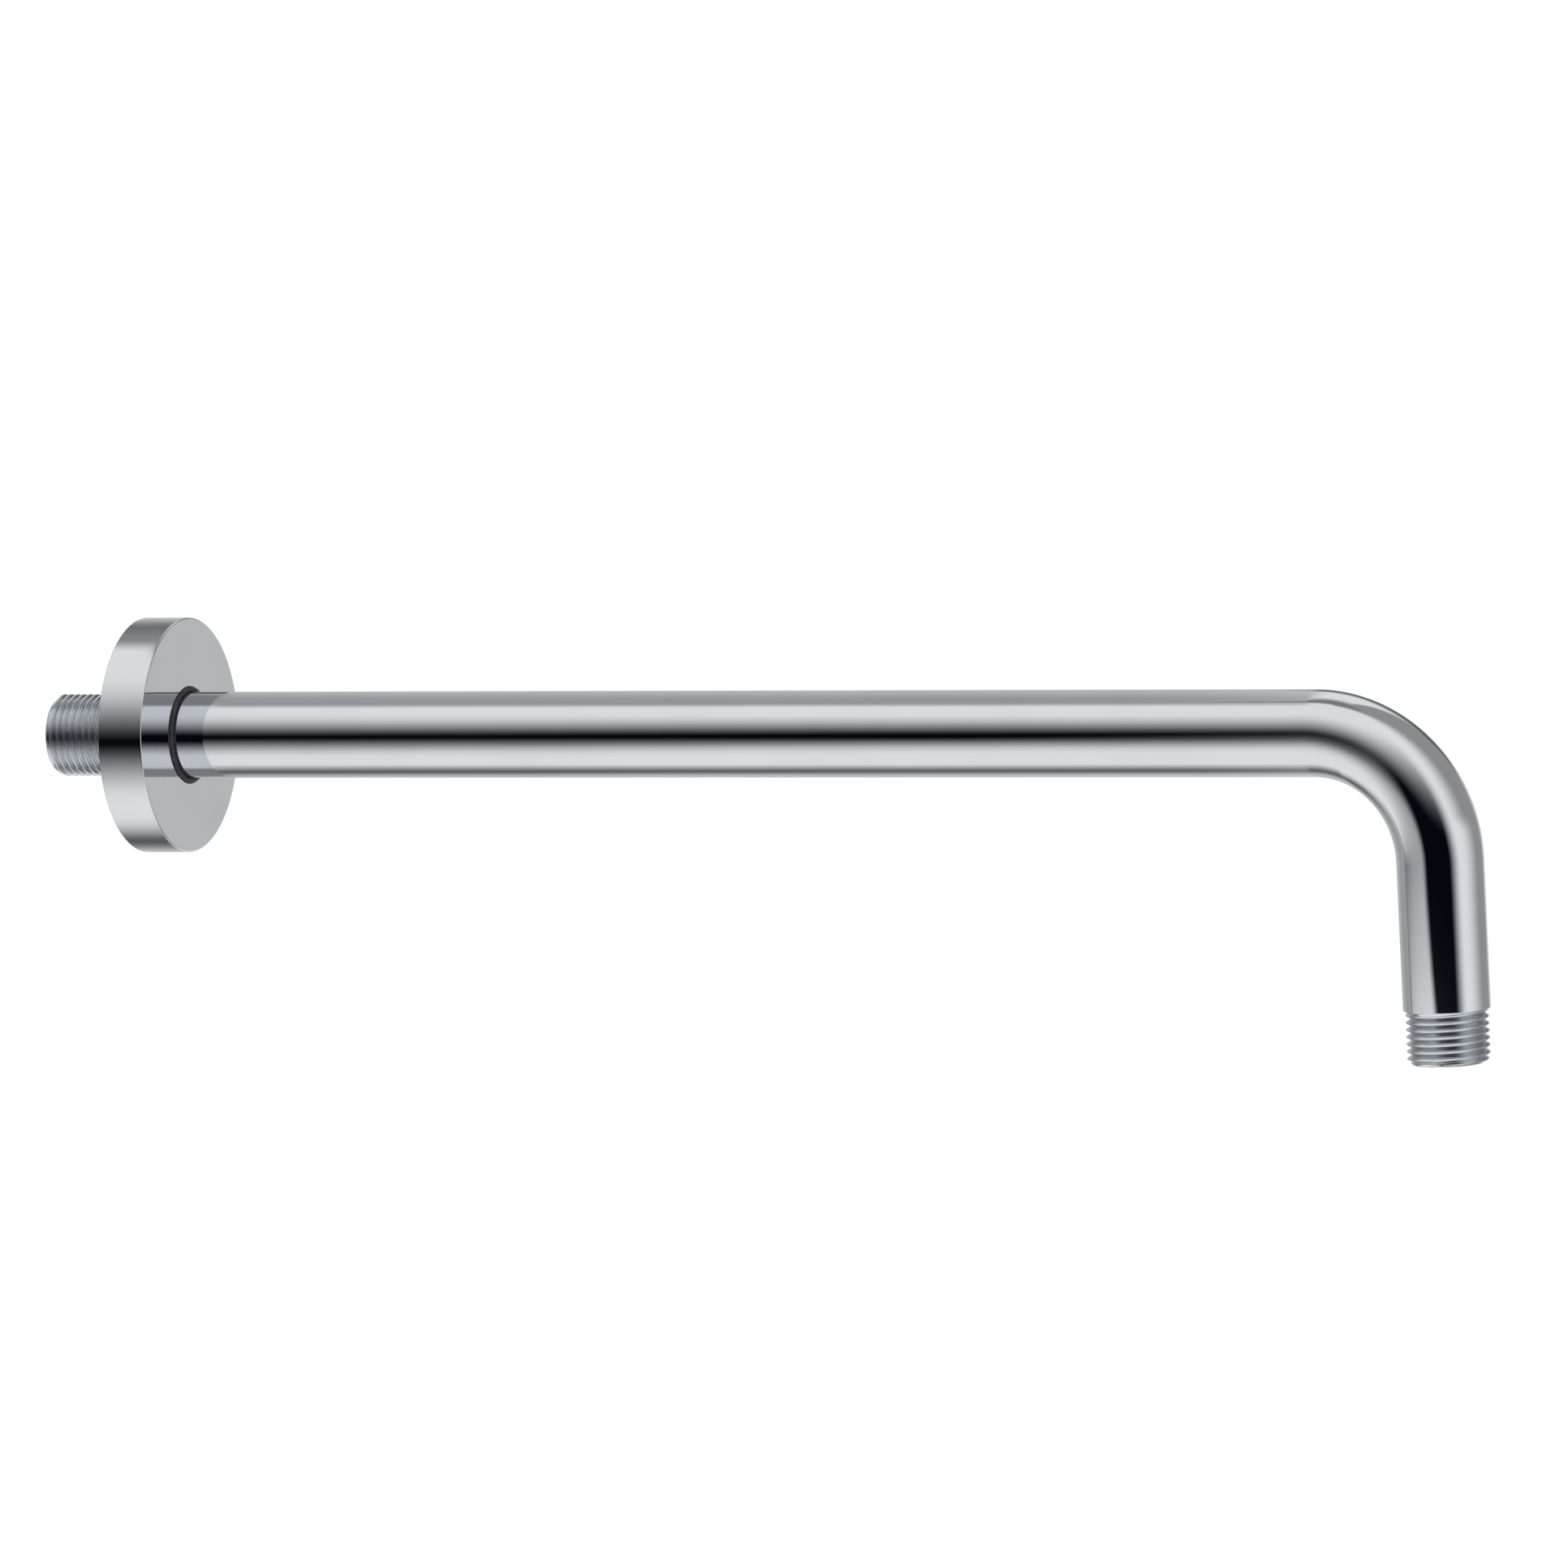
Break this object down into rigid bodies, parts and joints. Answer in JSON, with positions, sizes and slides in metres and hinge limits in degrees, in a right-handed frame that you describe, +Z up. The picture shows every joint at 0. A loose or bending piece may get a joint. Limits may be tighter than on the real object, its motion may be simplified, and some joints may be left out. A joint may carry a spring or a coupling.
{
  "type": "shower arm",
  "caption": "Right-angle wall shower arm: a chrome tube on a threaded wall nipple, bent down to a threaded outlet, with a round sliding wall flange and its seal ring.",
  "frame": {"origin": "on the axis of the horizontal tube, in the plane of the finished wall, where the back rim of the flange lies", "axes": "+X out of the wall along the arm, +Z up; the outlet leg points along -Z"},
  "size_m": [0.3895, 0.06, 0.113],
  "materials": {
    "polished_chrome": "mirror-polished chrome plate on brass",
    "plated_thread": "turned brass with a thin, dull plating on the threads",
    "seal_rubber": "smooth black rubber"
  },
  "bodies": {
    "arm": {"arm_tube": "polished_chrome", "wall_nipple": "plated_thread", "outlet_nipple": "plated_thread"},
    "seal": {"seal_ring": "seal_rubber"},
    "flange": {"flange": "polished_chrome"}
  },
  "joints": [
    {"name": "flange_slide", "type": "slide", "parent": "arm", "child": "seal", "axis": [1, 0, 0], "range_m": [0, 0.305]},
    {"name": "flange_swivel", "type": "hinge", "parent": "seal", "child": "flange", "pos_m": [0.012, 0, 0], "axis": [1, 0, 0], "continuous": true}
  ]
}
